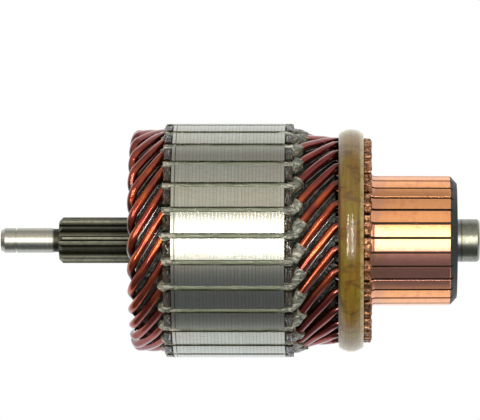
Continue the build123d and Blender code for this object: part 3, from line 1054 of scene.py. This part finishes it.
def build_camera():
    """Long lens almost level with the shaft, from the photographed side."""
    data = bpy.data.cameras.new("camera")
    data.lens = LENS
    data.sensor_width = SENSOR
    data.clip_start = 0.05
    camera = link_object("camera", data)
    aim(camera, CAMERA_AT, CAMERA_TARGET)
    bpy.context.scene.camera = camera


def build_lamps():
    """Two upright soft boxes beside the camera, turned to the middle of the armature."""
    for name, lamp_at in (("left_box", (-0.42, -1.1, 0.1)), ("right_box", (0.25, -1.15, 0.1))):
        data = bpy.data.lights.new(name, "AREA")
        data.shape = "RECTANGLE"
        data.size, data.size_y = LAMP_SIZE
        data.energy = LAMP_POWER
        data.color = LAMP_COLOUR
        aim(link_object(name, data), lamp_at, (0, 0, 0))


def build_world():
    """White for the camera. What metal and glass see goes round the shaft from a bright
    front over a pale roof to a white backdrop, with a dark table edge in front and below."""
    world = bpy.data.worlds.new("world")
    bpy.context.scene.world = world
    world.use_nodes = True
    tree = world.node_tree
    tree.nodes.clear()
    xyz = split(tree, add_node(tree, "TexCoord").outputs["Generated"])
    front = combined(tree, "MULTIPLY", xyz["Y"], -1.0)
    angle = combined(tree, "ARCTAN2", xyz["Z"], front)
    ramp = add_node(tree, "ValToRGB", {"Fac": ranged(tree, angle, -math.pi, math.pi)})
    stops = ramp.color_ramp.elements
    stops[0].position = 0.0
    stops[1].position = 1.0
    for degrees, _, _ in ROOM_LEVELS[1:-1]:
        stops.new((degrees + 180) / 360)
    for stop, (_, level, warmth) in zip(stops, ROOM_LEVELS):
        share = level / BRIGHTEST
        stop.color = (share * (1 + warmth), share, share * (1 - 1.6 * warmth), 1.0)
    aside = combined(tree, "ABSOLUTE", combined(tree, "ARCTAN2", xyz["X"], front))
    above = combined(tree, "ABSOLUTE", angle)
    beside = combined(tree, "MULTIPLY", ranged(tree, aside, *map(math.radians, WINDOW_ASIDE)),
                      ranged(tree, above, *map(math.radians, WINDOW_ABOVE), 1.0, 0.0))
    side_level = SIDE_LEVEL / BRIGHTEST
    around = mixed(tree, beside, ramp.outputs["Color"], (side_level, side_level, side_level, 1.0))
    path = add_node(tree, "LightPath").outputs
    plain = add_node(tree, "Background", {"Color": WHITE, "Strength": PLAIN_LEVEL})
    room = add_node(tree, "Background", {"Color": around, "Strength": BRIGHTEST})
    white = add_node(tree, "Background", {"Color": WHITE, "Strength": 1.0})
    seen = combined(tree, "MAXIMUM", path["Is Camera Ray"], path["Is Transmission Ray"])
    lit = mixed_shader(tree, path["Is Glossy Ray"], plain, room)
    output = add_node(tree, "OutputWorld")
    tree.links.new(mixed_shader(tree, seen, lit, white).outputs[0], output.inputs["Surface"])


def build_floor():
    """Pale disc below the armature, which keeps its shadow and fades into the white."""
    rim = [(x, y, 0.0) for x, y in wire_section(FLOOR_R, FLOOR_SIDES)]
    mesh = bpy.data.meshes.new("floor")
    mesh.from_pydata(rim, [], [tuple(range(FLOOR_SIDES))])
    floor = link_object("floor", mesh)
    floor.location = (0.0, 0.0, FLOOR_Z)
    floor.visible_glossy = False
    material, tree, shader = start_material("floor", roughness=0.9)
    shader.inputs["Base Color"].default_value = (0.9, 0.9, 0.9, 1.0)
    away = add_node(tree, "VectorMath", {0: place(tree)}, operation="LENGTH").outputs["Value"]
    white = add_node(tree, "Emission", {"Color": WHITE, "Strength": 1.0})
    fade = mixed_shader(tree, ranged(tree, away, *FLOOR_FADE), shader, white)
    tree.links.new(fade.outputs[0], tree.nodes["Material Output"].inputs["Surface"])
    mesh.materials.append(material)


def dress(node, material):
    """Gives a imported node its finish."""
    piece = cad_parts[node]
    piece.data.materials.clear()
    piece.data.materials.append(material)


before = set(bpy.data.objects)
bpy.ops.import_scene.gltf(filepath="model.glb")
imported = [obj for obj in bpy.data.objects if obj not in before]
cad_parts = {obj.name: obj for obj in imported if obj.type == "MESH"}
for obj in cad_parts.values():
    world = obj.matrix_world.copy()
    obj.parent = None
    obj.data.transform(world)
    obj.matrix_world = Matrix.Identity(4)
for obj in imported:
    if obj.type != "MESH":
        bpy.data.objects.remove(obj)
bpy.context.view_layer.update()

CORE_START_X, CORE_END_X = reach_of("core_stack")
CORE_R = radius_of("core_stack")
SHEET = (CORE_END_X - CORE_START_X) / SHEET_COUNT
FRONT_FACE_X = reach_of("front_end_insulator")[0]
REAR_FACE_X = reach_of("rear_end_insulator")[1]
BAND_START_X, BAND_END_X = reach_of("banding_ring")
BAND_R = radius_of("banding_ring")
RISER_START_X, TRACK_END_X = reach_of("commutator_bars")
RISER_END_X = RISER_START_X + RISER_THICKNESS
RISER_R = radius_of("commutator_bars")
GEAR_START_X = reach_of("shaft")[0] + PILOT_LENGTH
TAIL_START_X = reach_of("commutator_bush")[1]
HEAD_X = reach_of("coil_01")[0] + WIRE_R
FRONT_BEND_X = FRONT_FACE_X + 0.3
REAR_BEND_X = REAR_FACE_X - 0.2
LEAD_BEND_X = BAND_START_X - 0.7
REAR_MIDDLE_X = (REAR_BEND_X + LEAD_BEND_X) / 2
LOW_SIDE = (0.0, -math.cos(math.radians(25)), -math.sin(math.radians(25)))

build_camera()
build_lamps()
build_world()
build_floor()

board = fibre_board()
dress("shaft", shaft_steel())
dress("commutator_moulding", phenolic())
dress("commutator_bush", bush_steel())
dress("mica_segments", mica_strip())
dark_paper = layer_paper()
build_sleeve("front_sleeve", "front_layer_sleeve", reach_of("front_layer_sleeve")[0],
             FRONT_FACE_X + 0.2, dark_paper, random.Random(21))
build_sleeve("rear_sleeve", "rear_layer_sleeve", REAR_FACE_X - 0.2,
             reach_of("rear_layer_sleeve")[1], dark_paper, random.Random(22))
build_core(core_steel())
build_insulator("front_board", "front_end_insulator", FRONT_FACE_X, CORE_START_X,
                board, random.Random(1))
build_insulator("rear_board", "rear_end_insulator", REAR_FACE_X, CORE_END_X,
                board, random.Random(2))
build_coils(enamelled_copper())
clear_varnish = varnish()
build_varnish(clear_varnish)
build_drips(clear_varnish)
build_liners(slot_paper())
build_band(banding_resin())
build_commutator(commutator_copper())

bpy.context.scene.view_settings.view_transform = "Standard"
